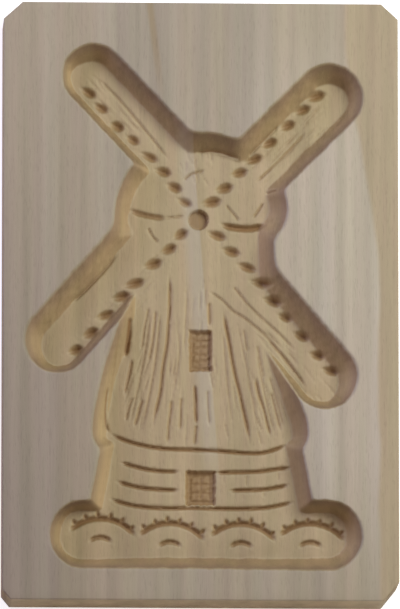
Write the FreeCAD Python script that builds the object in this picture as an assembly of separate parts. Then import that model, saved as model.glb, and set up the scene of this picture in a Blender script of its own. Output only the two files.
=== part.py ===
"""Carved beech board for moulding spiced biscuits.

One plank of beech, lying on its back. The picture of a tower mill is cut into its face as one
hollow with sloping sides and a flat floor, and finer gouge cuts go into that floor.
The origin is the middle of the back face, +Y runs along the grain towards the mill's cap,
and +Z comes out of the carved face. Lengths are millimetres and angles are degrees.
"""

import FreeCAD, Part
import math
import os
from collections import namedtuple

from FreeCAD import Placement, Rotation, Vector

# The plank
WIDTH = 110.0
LENGTH = 168.0
THICKNESS = 18.0
CORNER_CUT = 5.0
EDGE_ROUND = 1.0

# How much comes off each corner, across and along the grain, as shares of the corner cut.
# The corners go from the upper right one round over the left, and the lower left one is the smallest.
CORNER_SHARES = ((0.94, 0.87), (1.06, 0.96), (0.45, 0.56), (0.86, 1.06))

# The hollow that the dough is pressed into, with sides that slope so the dough falls out
HOLLOW_DEPTH = 6.5
WALL_RUN = 3.9
FOOT_ROUND = 0.7
OVERRUN = 1.0

# The part of a groove that runs out at each end
RUN_OUT_SHARE = 0.3

# The hub, a flat-bottomed hole that the four sails turn about
MILL_X = 0.1
HUB_SIDE = 0.6
HUB_Y = 23.6
HUB_RADIUS = 2.7
HUB_DEPTH = 1.8

# The sails: a slot with a round tip, whose cloth lies beside a row of gouge cuts.
# A sail has the bearings of its cloth and of its row, the lean of the cuts away from the row,
# then shares of the three sizes here, and the places of the cuts as shares of its own reach.
SAIL_REACH = 50.0
SAIL_HALF_WIDTH = 9.1
CLOTH_OFFSET = 3.6
CUT_LENGTH = 5.0
CUT_HALF_WIDTH = 1.1
CUT_DEPTH = 1.4
Sail = namedtuple("Sail", "bearing row lean reach width offset places")
SAIL_SHARES = (
    Sail(133.4, 130.0, 22.0, 0.98, 0.98, 1.68, (0.13, 0.23, 0.34, 0.45, 0.59, 0.71, 0.84, 0.96)),
    Sail(45.3, 47.8, -20.0, 0.98, 1.03, 0.61, (0.12, 0.24, 0.36, 0.48, 0.6, 0.74, 0.87, 0.98)),
    Sail(228.9, 226.7, -20.0, 1.04, 1.03, 1.9, (0.12, 0.22, 0.35, 0.49, 0.6, 0.73, 0.84, 0.97)),
    Sail(-49.7, -48.0, 19.0, 1.13, 1.02, 0.58, (0.12, 0.22, 0.33, 0.43, 0.54, 0.66, 0.78, 0.91, 1.0)),
)

# The cap: a half round with a short upright skirt and round corners
CAP_RADIUS = 24.5
CAP_SKIRT = 3.6
CAP_CORNER = 4.8

# The thatched body, which flares towards its hem
HEM_Y = -43.0
BODY_HEIGHT = 74.0
HEM_HALF_WIDTH = 30.5
# the rounds of its outline, as shares of its height
SIDE_ROUND_SHARE = 0.26
HEM_ROUND_SHARE = 0.08
# half width, height above the hem
BODY_SIDE_SHARES = ((0.67, 1.0), (0.74, 0.52), (0.9, 0.32), (1.0, 0.125))

# The brick base, which spreads towards the ground
BASE_FOOT_Y = -66.0
BASE_HEIGHT = 36.0
BASE_TOP_HALF_WIDTH = 26.0
BASE_FOOT_HALF_WIDTH = 33.0
BASE_ROUND_SHARE = 0.15

# The mound of ground, a slot that lies across
GROUND_Y = -65.8
GROUND_HALF_SPAN = 33.8
GROUND_HALF_WIDTH = 9.5
GROUND_SIDE = 1.2

# The window and the door, sunk into the floor
SUNK_DEPTH = 1.4
SUNK_RUN = 0.5
WINDOW_HALF_WIDTH = 3.2
WINDOW_HALF_HEIGHT = 5.9
WINDOW_Y = -13.3
DOOR_HALF_WIDTH = 4.2
DOOR_HALF_HEIGHT = 4.9
DOOR_Y = -51.9

# Gouge strokes of the brick courses, which sag in the middle as if seen from above
COURSE_HALF_SPAN = 24.8
COURSE_TOP_Y = -41.6
COURSE_PITCH = 5.5
COURSE_SAG = 3.4
COURSE_HALF_WIDTH = 0.6
COURSE_DEPTH = 0.8
COURSES = 4

# Strokes of the thatch, as shares of the hem's half width and the body's height
THATCH_HALF_WIDTH = 0.5
THATCH_DEPTH = 0.6
THATCH_SHARES = (
    ((-0.65, 0.54), (-0.69, 0.37)),
    ((-0.63, 0.36), (-0.69, 0.23)),
    ((-0.63, 0.23), (-0.68, 0.11)),
    ((-0.47, 0.55), (-0.54, 0.39)),
    ((-0.42, 0.51), (-0.47, 0.32)),
    ((-0.28, 0.70), (-0.28, 0.57)),
    ((-0.28, 0.56), (-0.33, 0.35)),
    ((-0.34, 0.34), (-0.44, 0.09)),
    ((-0.53, 0.22), (-0.61, 0.09)),
    ((-0.27, 0.24), (-0.29, 0.04)),
    ((-0.17, 0.25), (-0.18, 0.09)),
    ((-0.04, 0.27), (-0.03, 0.14)),
    ((-0.03, 0.16), (-0.05, 0.04)),
    ((0.07, 0.26), (0.08, 0.11)),
    ((0.09, 0.59), (0.09, 0.47)),
    ((0.19, 0.56), (0.26, 0.41)),
    ((0.25, 0.43), (0.36, 0.22)),
    ((0.35, 0.24), (0.46, 0.03)),
    ((0.52, 0.44), (0.59, 0.30)),
    ((0.50, 0.31), (0.57, 0.18)),
    ((0.57, 0.19), (0.65, 0.07)),
    ((0.65, 0.23), (0.73, 0.09)),
)

# Strokes under the brim of the cap, as shares of its radius
BRIM_HALF_WIDTH = 0.7
BRIM_DEPTH = 0.9
BRIM_SHARES = (
    ((-0.84, 0.09), (-0.56, 0.04)),
    ((-0.62, 0.05), (-0.3, 0.03)),
    ((0.2, -0.03), (0.5, -0.06)),
    ((0.44, -0.06), (0.8, 0.01)),
)

# The scallops along the ground, each an arc of strokes over a small one
SCALLOPS = 4
SCALLOP_PITCH = 19.6
SCALLOP_SIDE = 1.0
SCALLOP_TOP_Y = -61.6
SCALLOP_RADIUS = 11.0
SCALLOP_HALF_ANGLE = 50.0
SCALLOP_HALF_WIDTH = 0.8
SCALLOP_DEPTH = 0.9
BUD_DROP = 5.0
BUD_RADIUS = 3.4
BUD_HALF_WIDTH = 0.6
BUD_DEPTH = 0.6

FACE_Z = THICKNESS
FLOOR_Z = THICKNESS - HOLLOW_DEPTH
HUB = Vector(MILL_X - HUB_SIDE, HUB_Y, 0)
CAP = Vector(MILL_X, HUB_Y - HUB_SIDE, 0)


def on_ring(centre, radius, bearing):
    """The point at a bearing on a circle, measured from +X towards +Y."""
    turn = math.radians(bearing)
    return centre + Vector(math.cos(turn), math.sin(turn), 0) * radius


def rounded_outline(corners):
    """A closed outline through (x, y, radius) corners, with a tangent arc at each."""
    edges = []
    count = len(corners)
    for i in range(count):
        before, here, after = (Vector(*corners[(i + k) % count][:2], 0) for k in (-1, 0, 1))
        back = (before - here).normalize()
        ahead = (after - here).normalize()
        radius = corners[i][2]
        half = back.getAngle(ahead) / 2
        start = here + back * (radius / math.tan(half))
        end = here + ahead * (radius / math.tan(half))
        middle = here + (back + ahead).normalize() * (radius / math.sin(half) - radius)
        edges.append((start, middle, end))
    outline = []
    last = edges[-1][2]
    for start, middle, end in edges:
        outline.append(Part.makeLine(last, start))
        outline.append(Part.Arc(start, middle, end).toShape())
        last = end
    return Part.Wire(outline)


def slot_outline(start, end, half_width):
    """A slot from one point to another, with half-round ends."""
    along = (end - start).normalize() * half_width
    across = Vector(-along.y, along.x, 0)
    return Part.Wire([
        Part.makeLine(start - across, end - across),
        Part.Arc(end - across, end + along, end + across).toShape(),
        Part.makeLine(end + across, start + across),
        Part.Arc(start + across, start - along, start - across).toShape(),
    ])


def hollow(outline, top, depth, run, foot_round=0):
    """A cutter with sloping sides: its outline lies at the height top, and its floor is smaller."""
    foot = outline.makeOffset2D(-run)
    mouth = outline.makeOffset2D(run * OVERRUN / depth)
    foot.translate(Vector(0, 0, top - depth))
    mouth.translate(Vector(0, 0, top + OVERRUN))
    cutter = Part.makeLoft([foot, mouth], True, True)
    if foot_round:
        floor = [e for e in cutter.Edges if e.BoundBox.ZMax < top - depth + foot_round]
        cutter = cutter.makeFillet(foot_round, floor)
    return cutter


def groove_section(middle, across, half_width, depth):
    """The V of a parting tool, from above the floor down to its point."""
    mouth = across * (half_width * (1 + OVERRUN / depth))
    top = middle + Vector(0, 0, OVERRUN)
    point = middle - Vector(0, 0, depth)
    return Part.makePolygon([top - mouth, point, top + mouth, top - mouth])


def groove(start, end, half_width, depth):
    """A straight V groove that runs out to a point at both ends."""
    across = (end - start).normalize().cross(Vector(0, 0, 1))
    sections = [Part.Vertex(start)]
    for share in (RUN_OUT_SHARE, 1 - RUN_OUT_SHARE):
        middle = start + (end - start) * share
        sections.append(groove_section(middle, across, half_width, depth))
    sections.append(Part.Vertex(end))
    cut = Part.makeLoft(sections, True, True)
    cut.translate(Vector(0, 0, FLOOR_Z))
    return cut


def bowed_groove(centre, radius, deepest, ends, half_width, depth):
    """A V groove along an arc, deepest at one bearing, that runs out at the bearing furthest from it."""
    first, last = ends
    section = groove_section(Vector(radius, 0, 0), Vector(1, 0, 0), half_width, depth)
    cut = Part.Face(section).revolve(Vector(), Vector(0, 0, 1), last - first)
    cut.rotate(Vector(), Vector(0, 0, 1), first)
    far = max(abs(first - deepest), abs(last - deepest))
    away = radius * (1 - math.cos(math.radians(far)))
    low = on_ring(Vector(), radius, deepest)
    cut.rotate(low, Vector(0, 0, 1).cross(low), math.degrees(math.asin(depth / away)))
    cut.translate(centre + Vector(0, 0, FLOOR_Z))
    return cut


def plank():
    """The squared and planed piece of beech, with its corners cut off and its edges eased."""
    points = []
    for (x, y), (across, along) in zip(((1, 1), (-1, 1), (-1, -1), (1, -1)), CORNER_SHARES):
        tip = Vector(x * WIDTH / 2, y * LENGTH / 2, 0)
        beside = tip - Vector(x * across * CORNER_CUT, 0, 0)
        below = tip - Vector(0, y * along * CORNER_CUT, 0)
        points += (below, beside) if x == y else (beside, below)
    face = Part.Face(Part.makePolygon(points + points[:1]))
    block = face.extrude(Vector(0, 0, THICKNESS))
    rims = [e for e in block.Edges if e.BoundBox.ZLength < EDGE_ROUND / 2]
    return block.makeFillet(EDGE_ROUND, rims)


def sail_cutter(sail):
    """The slot of one sail, from the hub to the middle of its round tip."""
    cloth = on_ring(Vector(), CLOTH_OFFSET * sail.offset, sail.bearing - 90)
    tip = on_ring(HUB, SAIL_REACH * sail.reach, sail.bearing)
    outline = slot_outline(HUB + cloth, tip + cloth, SAIL_HALF_WIDTH * sail.width)
    return hollow(outline, FACE_Z, HOLLOW_DEPTH, WALL_RUN, FOOT_ROUND)


def cap_cutter():
    """The round cap, cut off flat just below the hub, with small arcs at its corners."""
    foot_y = CAP.y - CAP_SKIRT
    rise = CAP_CORNER - CAP_SKIRT
    across = math.sqrt((CAP_RADIUS - CAP_CORNER) ** 2 - rise**2)
    bearing = math.degrees(math.atan2(rise, across))
    edges = []
    for side in (1, -1):
        pivot = CAP + Vector(side * across, rise, 0)
        turn = 90 - side * 90
        rim = on_ring(pivot, CAP_CORNER, turn + side * bearing)
        middle = on_ring(pivot, CAP_CORNER, turn + side * (bearing - 90) / 2)
        foot = Vector(pivot.x, foot_y, 0)
        edges.append((rim, middle, foot))
    right, left = edges
    outline = Part.Wire([
        Part.Arc(right[0], CAP + Vector(0, CAP_RADIUS, 0), left[0]).toShape(),
        Part.Arc(left[0], left[1], left[2]).toShape(),
        Part.makeLine(left[2], right[2]),
        Part.Arc(right[2], right[1], right[0]).toShape(),
    ])
    return hollow(outline, FACE_Z, HOLLOW_DEPTH, WALL_RUN, FOOT_ROUND)


def body_cutter():
    """The thatched body, from under the cap to the hem."""
    side_round = BODY_HEIGHT * SIDE_ROUND_SHARE
    hem_round = BODY_HEIGHT * HEM_ROUND_SHARE
    right = []
    for across, up in BODY_SIDE_SHARES:
        right.append((HEM_HALF_WIDTH * across, HEM_Y + BODY_HEIGHT * up, side_round))
    right[0] = right[0][:2] + (hem_round,)
    right.append((HEM_HALF_WIDTH, HEM_Y, hem_round))
    corners = [(MILL_X + x, y, r) for x, y, r in right]
    corners += [(MILL_X - x, y, r) for x, y, r in reversed(right)]
    return hollow(rounded_outline(corners), FACE_Z, HOLLOW_DEPTH, WALL_RUN, FOOT_ROUND)


def base_cutter():
    """The brick base, which runs up into the body and down into the ground."""
    top = BASE_FOOT_Y + BASE_HEIGHT
    rounding = BASE_HEIGHT * BASE_ROUND_SHARE
    corners = [
        (MILL_X + BASE_TOP_HALF_WIDTH, top, rounding),
        (MILL_X + BASE_FOOT_HALF_WIDTH, BASE_FOOT_Y, rounding),
        (MILL_X - BASE_FOOT_HALF_WIDTH, BASE_FOOT_Y, rounding),
        (MILL_X - BASE_TOP_HALF_WIDTH, top, rounding),
    ]
    return hollow(rounded_outline(corners), FACE_Z, HOLLOW_DEPTH, WALL_RUN, FOOT_ROUND)


def ground_cutter():
    """The mound of ground that the mill stands on."""
    middle = Vector(MILL_X + GROUND_SIDE, GROUND_Y, 0)
    reach = Vector(GROUND_HALF_SPAN, 0, 0)
    outline = slot_outline(middle - reach, middle + reach, GROUND_HALF_WIDTH)
    return hollow(outline, FACE_Z, HOLLOW_DEPTH, WALL_RUN, FOOT_ROUND)


def sunk_panel(centre_y, half_width, half_height):
    """A rectangle sunk into the floor, for the window and the door."""
    across = Vector(half_width, 0, 0)
    up = Vector(0, half_height, 0)
    middle = Vector(MILL_X, centre_y, 0)
    corners = [middle - across - up, middle + across - up, middle + across + up, middle - across + up]
    outline = Part.makePolygon(corners + corners[:1])
    return hollow(outline, FLOOR_Z, SUNK_DEPTH, SUNK_RUN)


def sail_cuts(sail):
    """The row of gouge cuts along the stock of one sail."""
    cuts = []
    half = on_ring(Vector(), CUT_LENGTH / 2, sail.row + sail.lean)
    for place in sail.places:
        middle = on_ring(HUB, SAIL_REACH * sail.reach * place, sail.row)
        cuts.append(groove(middle + half, middle - half, CUT_HALF_WIDTH, CUT_DEPTH))
    return cuts


def thatch_cuts():
    """The strokes that run down the body."""
    cuts = []
    for ends in THATCH_SHARES:
        top, foot = (
            Vector(MILL_X + HEM_HALF_WIDTH * x, HEM_Y + BODY_HEIGHT * y, 0) for x, y in ends
        )
        cuts.append(groove(top, foot, THATCH_HALF_WIDTH, THATCH_DEPTH))
    return cuts


def brim_cuts():
    """The strokes under the brim of the cap, on both sides of the hub."""
    cuts = []
    for ends in BRIM_SHARES:
        start, end = (CAP + Vector(x, y, 0) * CAP_RADIUS for x, y in ends)
        cuts.append(groove(start, end, BRIM_HALF_WIDTH, BRIM_DEPTH))
    return cuts


def course_cuts():
    """The joints between the courses of brick, all but the first broken by the door."""
    radius = (COURSE_HALF_SPAN**2 + COURSE_SAG**2) / (2 * COURSE_SAG)
    sweep = math.degrees(math.asin(COURSE_HALF_SPAN / radius))
    gap = math.degrees(math.asin((DOOR_HALF_WIDTH + COURSE_HALF_WIDTH) / radius))
    cuts = []
    for i in range(COURSES):
        centre = Vector(MILL_X, COURSE_TOP_Y - i * COURSE_PITCH + radius, 0)
        if i == 0:
            spans = [(270 - sweep, 270 + sweep)]
        else:
            spans = [(270 - sweep, 270 - gap), (270 + gap, 270 + sweep)]
        for ends in spans:
            cuts.append(bowed_groove(centre, radius, 270, ends, COURSE_HALF_WIDTH, COURSE_DEPTH))
    return cuts


def scallop_cuts():
    """The scallops of the ground, each a large arc over a small one."""
    cuts = []
    ends = (90 - SCALLOP_HALF_ANGLE, 90 + SCALLOP_HALF_ANGLE)
    for i in range(SCALLOPS):
        x = MILL_X + SCALLOP_SIDE + (i - (SCALLOPS - 1) / 2) * SCALLOP_PITCH
        for tip_y, radius, half_width, depth in (
            (SCALLOP_TOP_Y, SCALLOP_RADIUS, SCALLOP_HALF_WIDTH, SCALLOP_DEPTH),
            (SCALLOP_TOP_Y - BUD_DROP, BUD_RADIUS, BUD_HALF_WIDTH, BUD_DEPTH),
        ):
            centre = Vector(x, tip_y - radius, 0)
            cuts.append(bowed_groove(centre, radius, 90, ends, half_width, depth))
    return cuts


def board():
    """The plank with the mill cut into its face."""
    carved = plank()
    for sail in SAIL_SHARES:
        carved = carved.cut(sail_cutter(sail))
    for cutter in (cap_cutter(), body_cutter(), base_cutter(), ground_cutter()):
        carved = carved.cut(cutter)
    carved = carved.removeSplitter()
    hub_foot = HUB + Vector(0, 0, FLOOR_Z - HUB_DEPTH)
    carved = carved.cut(Part.makeCylinder(HUB_RADIUS, HUB_DEPTH + OVERRUN, hub_foot))
    carved = carved.cut(sunk_panel(WINDOW_Y, WINDOW_HALF_WIDTH, WINDOW_HALF_HEIGHT))
    carved = carved.cut(sunk_panel(DOOR_Y, DOOR_HALF_WIDTH, DOOR_HALF_HEIGHT))
    for sail in SAIL_SHARES:
        carved = carved.cut(sail_cuts(sail))
    for cuts in (thatch_cuts(), brim_cuts(), course_cuts(), scallop_cuts()):
        carved = carved.cut(cuts)
    return carved


os.makedirs("parts", exist_ok=True)
solid = board()
solid.exportStep("parts/board.step")
print("board: valid", solid.isValid(), "solids", len(solid.Solids), "volume", round(solid.Volume))
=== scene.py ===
"""A carved beech board for moulding spiced biscuits, dressed over its CAD frame.

The board is one plank. Its face is a grid of small squares, made finer wherever the carver's
tools went, and each point of it is pressed down to where the tools left the wood.
"""

import math
from collections import namedtuple

import bmesh
import bpy
import numpy as np
from mathutils import Matrix, Vector


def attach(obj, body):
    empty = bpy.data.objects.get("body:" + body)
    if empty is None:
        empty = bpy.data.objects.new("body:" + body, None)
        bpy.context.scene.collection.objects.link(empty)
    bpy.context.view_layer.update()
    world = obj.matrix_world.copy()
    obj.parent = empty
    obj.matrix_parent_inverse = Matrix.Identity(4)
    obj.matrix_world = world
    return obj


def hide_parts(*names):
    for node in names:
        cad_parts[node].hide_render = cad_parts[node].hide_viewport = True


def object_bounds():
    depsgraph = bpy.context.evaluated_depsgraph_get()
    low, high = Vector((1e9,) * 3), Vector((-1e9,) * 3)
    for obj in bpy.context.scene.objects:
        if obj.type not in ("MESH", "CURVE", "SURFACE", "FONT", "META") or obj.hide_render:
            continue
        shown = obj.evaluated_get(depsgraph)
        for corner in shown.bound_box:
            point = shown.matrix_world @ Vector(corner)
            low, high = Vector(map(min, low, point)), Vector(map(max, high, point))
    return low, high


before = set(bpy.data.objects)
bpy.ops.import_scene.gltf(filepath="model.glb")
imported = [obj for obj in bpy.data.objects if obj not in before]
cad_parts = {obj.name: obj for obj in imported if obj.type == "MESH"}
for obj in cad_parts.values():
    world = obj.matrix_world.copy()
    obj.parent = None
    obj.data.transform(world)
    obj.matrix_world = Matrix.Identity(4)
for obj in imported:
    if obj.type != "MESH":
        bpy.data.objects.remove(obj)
CAD_BOX = [list(corner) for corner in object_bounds()]

bl_info = {
    "name": "Carved biscuit board",
    "version": (1, 0, 0),
    "blender": (4, 5, 0),
    "location": "View3D > Sidebar > Biscuit Board",
    "description": "Makes a carved beech board for moulding biscuits, and a stage to show it on",
    "category": "Object",
}

MM = 0.001
LOW = Vector(CAD_BOX[0])
HIGH = Vector(CAD_BOX[1])
PICTURE = (400, 609)

# How much comes off each corner, across and along the grain, as shares of the corner cut,
# from the upper right corner round over the left
CORNERS = ((1, 1), (-1, 1), (-1, -1), (1, -1))
CORNER_SHARES = ((0.94, 0.87), (1.06, 0.96), (0.45, 0.56), (0.86, 1.06))

# The mill, in millimetres from the middle of the board
MILL_X = 0.1
HUB = np.array((-0.5, 23.6))
CAP_MIDDLE = np.array((0.1, 23.0))
CAP_RADIUS = 24.5
CAP_SKIRT = 7.2
HEM_Y = -43.0
BODY_HEIGHT = 74.0
HEM_HALF_WIDTH = 30.5
SIDE_ROUND = 19.2
HEM_ROUND = 5.9
LEFT_SIDE = ((0.67, 1.0), (0.74, 0.52), (0.9, 0.32), (1.0, 0.125))
RIGHT_SIDE = ((0.66, 1.0), (0.69, 0.46), (0.8, 0.33), (0.97, 0.13))
BASE_FOOT_Y = -66.0
BASE_HEIGHT = 36.0
BASE_TOP = 26.0
BASE_FOOT = 33.0
BASE_ROUND = 5.4
GROUND_MIDDLE = np.array((1.3, -65.8))
GROUND_HALF_SPAN = 33.8
GROUND_HALF_WIDTH = 9.5
WINDOW = ((0.1, -13.3), (3.2, 5.9))
DOOR = ((0.1, -51.9), (4.2, 4.9))

# Each sail: its bearing, how far its middle line passes the hub, its half width and reach,
# then the slopes on its left and right side seen from the hub, as shares of the usual wall run
Sail = namedtuple("Sail", "bearing step half_width reach left right")
SAILS = (
    Sail(133.4, 6.0, 8.9, 49.1, 0.66, 1.02),
    Sail(45.3, 1.9, 9.65, 49.5, 1.2, 1.0),
    Sail(228.9, 6.8, 9.4, 52.1, 0.66, 1.33),
    Sail(-49.7, 2.1, 9.4, 56.6, 1.42, 0.68),
)

# Widths of walls as shares of the usual wall run, how much wider the cap's gets towards its top,
# and how soft the cap's left and right corners are
CAP_RUN = 1.08
CAP_TOP_RUN = 0.14
CAP_CORNER_BLENDS = (0.8, 2.5)
BODY_RUN = 1.04
BASE_RUN = 1.0

# How the width of the ground's walls changes along it and from its middle up, and how much wider
# the ground is at its right end
GROUND_SLOPES = ((-1.0, 0.78), (-0.5, 0.94), (0.55, 0.96), (1.0, 1.08))
GROUND_UPPER_SLOPES = ((0.1, 1.0), (0.75, 0.64))
GROUND_SWELL = 0.4

# The gouge chips along the sails, each from its shallow left end to its deep right end
CHIPS = (
    (-6.3, 29.6, -2.2, 27.5), (-9.4, 33.7, -5.0, 31.8), (-12.6, 37.8, -8.0, 36.5),
    (-16.5, 42.5, -11.7, 40.1), (-20.7, 47.3, -16.9, 45.0), (-25.0, 50.8, -21.1, 49.0),
    (-29.7, 56.3, -25.6, 53.9), (-33.4, 60.7, -29.1, 58.1),
    (0.5, 28.1, 6.0, 29.1), (4.4, 31.8, 9.3, 33.3), (8.7, 36.3, 13.3, 37.6),
    (12.6, 39.9, 17.4, 41.7), (17.1, 44.6, 21.5, 46.4), (22.4, 49.3, 26.5, 51.5),
    (26.4, 53.9, 30.8, 55.8), (29.8, 57.9, 35.0, 59.7),
    (-7.3, 18.4, -3.3, 20.5), (-10.9, 14.2, -6.5, 16.3), (-15.6, 10.1, -10.6, 12.0),
    (-21.1, 4.7, -15.4, 6.4), (-24.4, 1.1, -19.4, 2.4), (-29.0, -4.4, -23.6, -2.5),
    (-32.5, -9.6, -28.2, -7.4), (-36.6, -14.1, -32.5, -12.6),
    (2.1, 20.1, 7.4, 18.3), (6.2, 15.4, 11.2, 14.0), (10.4, 11.2, 15.8, 9.3),
    (14.1, 6.5, 20.5, 5.2), (17.7, 1.5, 23.1, 0.1), (21.6, -2.9, 25.8, -4.6),
    (26.0, -8.0, 30.5, -10.0), (30.5, -13.8, 34.9, -15.0), (34.1, -18.1, 38.7, -19.5),
)
# How far a chip runs past its ends, as shares of its length, and how its size varies
CHIP_OVERLAP = (-0.2, 0.1)
CHIP_SIZES = (0.9, 1.12)

# The paths below are rows of x and y in turn. First, knife lines along the foot of a wall.
FOOT_LINES = (
    (-25.6, -22.8, -26.2, -27.0, -26.5, -31.2, -26.2, -35.0, -24.6, -37.2),
    (-22.6, 14.8, -24.8, 11.4, -28.7, 6.9, -32.6, 2.8, -36.6, -0.9),
    (-1.8, 42.4, 1.6, 43.1, 4.4, 43.0, 7.1, 42.3, 9.9, 41.3, 11.6, 40.3),
    (17.2, -8.4, 19.9, -11.0, 22.1, -13.5, 24.6, -16.9, 28.0, -21.0, 29.8, -24.4),
)

# Strokes of the thatch: how bold each is, then its path from its top to its foot
THATCH = (
    (2.4, -19.5, -4.0, -19.9, -9.2, -20.8, -15.5),
    (1.0, -19.0, -15.5, -19.3, -18.0, -20.6, -24.2, -21.2, -26.2),
    (0.8, -18.4, -26.4, -19.5, -28.1, -20.1, -30.3, -20.7, -33.4),
    (0.7, -14.2, -0.9, -14.8, -3.9, -15.6, -7.3, -15.9, -10.7, -16.6, -14.0),
    (0.8, -12.3, -1.5, -12.6, -5.9, -13.1, -10.1, -13.7, -13.5, -14.6, -17.8),
    (1.2, -8.7, 9.3, -8.4, 3.9, -8.4, -1.7, -8.8, -5.9, -9.1, -11.5, -10.1, -16.3, -10.6, -20.8,
     -10.9, -24.7, -12.0, -29.2, -12.9, -33.1, -13.5, -37.2),
    (0.4, -5.9, -7.3, -5.7, -14.3, -6.2, -18.0, -6.8, -21.9, -7.4, -26.0),
    (0.5, -13.7, -1.7, -15.6, -15.7, -17.9, -27.0, -19.8, -35.4),
    (0.6, -10.9, -1.7, -12.3, -15.7, -14.3, -27.0, -16.5, -37.4),
    (0.3, -22.6, -8.7, -24.0, -18.5, -24.8, -27.0),
    (0.3, -3.6, 2.8, -4.1, -6.0, -4.4, -14.0),
    (1.0, -15.9, -26.8, -16.8, -29.2, -17.3, -32.0, -18.4, -35.0),
    (0.9, -7.9, -26.8, -8.1, -29.8, -8.7, -34.0, -9.0, -40.2),
    (0.8, -5.1, -26.1, -5.4, -29.8, -5.4, -32.6, -5.6, -36.3),
    (1.4, -1.5, -22.6, -1.2, -27.0, -1.2, -30.3, -0.9, -34.5),
    (0.9, -1.0, -34.0, -1.5, -40.0),
    (0.6, 2.1, -24.0, 2.1, -28.4, 2.7, -34.9),
    (1.0, 2.6, 0.5, 2.7, -6.5),
    (1.4, 6.3, -1.5, 7.4, -7.3, 8.3, -11.8, 8.9, -15.7, 9.9, -20.8, 11.0, -25.0, 12.1, -30.3,
     13.3, -35.3, 14.2, -41.1),
    (0.5, 12.1, -7.2, 13.2, -14.0),
    (0.5, 15.7, -12.9, 17.4, -22.8, 19.6, -32.6, 21.0, -37.6),
    (0.5, 19.1, -19.9, 21.3, -27.0, 23.5, -35.4),
    (0.3, 6.3, -7.3, 7.4, -21.3, 9.1, -35.4),
    (0.3, 10.4, -5.4, 12.6, -16.0, 14.6, -27.0, 16.4, -38.0),
    (0.6, 15.9, -11.5, 17.4, -19.5, 18.1, -21.5),
    (1.2, 15.4, -20.3, 16.3, -25.6, 17.6, -28.9, 18.8, -34.0, 19.9, -38.3),
    (0.8, 19.7, -24.5, 20.3, -27.0, 21.2, -30.6, 22.6, -36.0),
)

# The joints between the courses of brick, and the short upright joints
COURSES = (
    (-25.8, -36.4, -21.4, -38.5, -16.4, -40.0, -9.9, -41.0, -1.5, -41.1, 5.9, -41.5, 13.4, -42.1,
     17.3, -42.0, 20.8, -41.0, 25.0, -39.2),
    (-22.9, -44.5, -16.5, -46.5, -10.9, -47.3, -5.1, -47.3),
    (3.0, -47.6, 8.4, -47.4, 15.7, -47.3, 20.7, -46.5, 26.3, -45.8),
    (-24.1, -49.8, -17.9, -51.8, -10.9, -52.4, -5.1, -52.5),
    (7.4, -52.5, 17.3, -52.3, 21.8, -51.5, 25.3, -50.6),
    (-26.1, -54.6, -21.4, -56.3, -16.4, -57.3, -9.0, -57.7, -2.1, -57.4, 3.4, -57.6, 10.9, -57.7,
     18.3, -57.4, 23.3, -56.3, 26.8, -55.3),
)
BRICK_JOINTS = (
    (12.9, -47.6, 13.0, -51.8),
    (21.6, -46.9, 21.8, -49.8),
    (17.7, -52.3, 17.8, -54.6),
)

# Light cuts of a veiner, in the sails' cloth and by the hub
VEINS = (
    (-28.4, 63.5, -24.3, 59.4, -19.8, 54.4, -15.0, 48.5, -10.9, 43.3, -8.0, 40.0),
    (29.5, 48.6, 25.2, 43.6, 20.6, 39.0, 15.2, 33.9),
    (22.0, 50.4, 17.2, 45.6, 13.1, 41.2),
    (1.6, 3.9, 6.3, 1.1, 9.1, -2.2, 12.4, -3.9, 17.4, -8.1, 22.4, -13.5, 28.0, -20.8),
    (9.1, 5.3, 12.7, 0.3, 17.4, -4.2, 19.6, -6.2, 22.1, -8.4, 26.9, -13.6),
    (9.3, 4.7, 11.0, 2.6, 12.8, 0.6),
    (-4.6, 34.7, -2.6, 36.7, 1.3, 37.6),
    (-14.6, 21.3, -13.2, 18.5, -11.5, 17.3),
    (7.2, 27.8, 9.4, 25.3, 10.9, 23.3),
    (17.7, 28.5, 14.9, 24.2),
    (18.4, 31.3, 21.3, 31.7),
)

# The brims of the cap: half width, depth and path
BRIMS = (
    (1.0, 0.8, -20.5, 26.7, -17.2, 25.3, -14.1, 24.6, -11.2, 24.1, -8.6, 24.0),
    (0.5, 0.45, -10.5, 24.1, -7.4, 24.3, -4.0, 24.7),
    (1.15, 1.25, 5.0, 22.9, 7.4, 21.9, 10.0, 21.35, 13.7, 21.1, 16.2, 21.6, 19.0, 22.7),
)

# The scallops along the ground, the bud under each, and the ticks over it
SCALLOP_MIDDLES = ((-27.7, -60.5), (-8.4, -61.7), (11.4, -61.8), (30.6, -61.6))
SCALLOP_RADIUS = 12.0
SCALLOP_ENDS = (138.0, 33.0)
BUD_RADIUS = 4.2
BUD_ENDS = (145.0, 35.0)
BUD_DROP = 5.3
TICKS = 6
TICK_MARGIN = 14
TICK_LEAN = 5
TICK_GAP = 0.2
TICK_LENGTHS = (1.6, 2.6)

# The rough cuts that criss-cross the window and the door
RECESS_ROWS = ((*WINDOW, 6), (*DOOR, 4))
RECESS_REACH = 0.85
RECESS_TILT = 0.4
BARS = (-0.6, 0.0, 0.6)
BAR_SHIFT = 0.3

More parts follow.
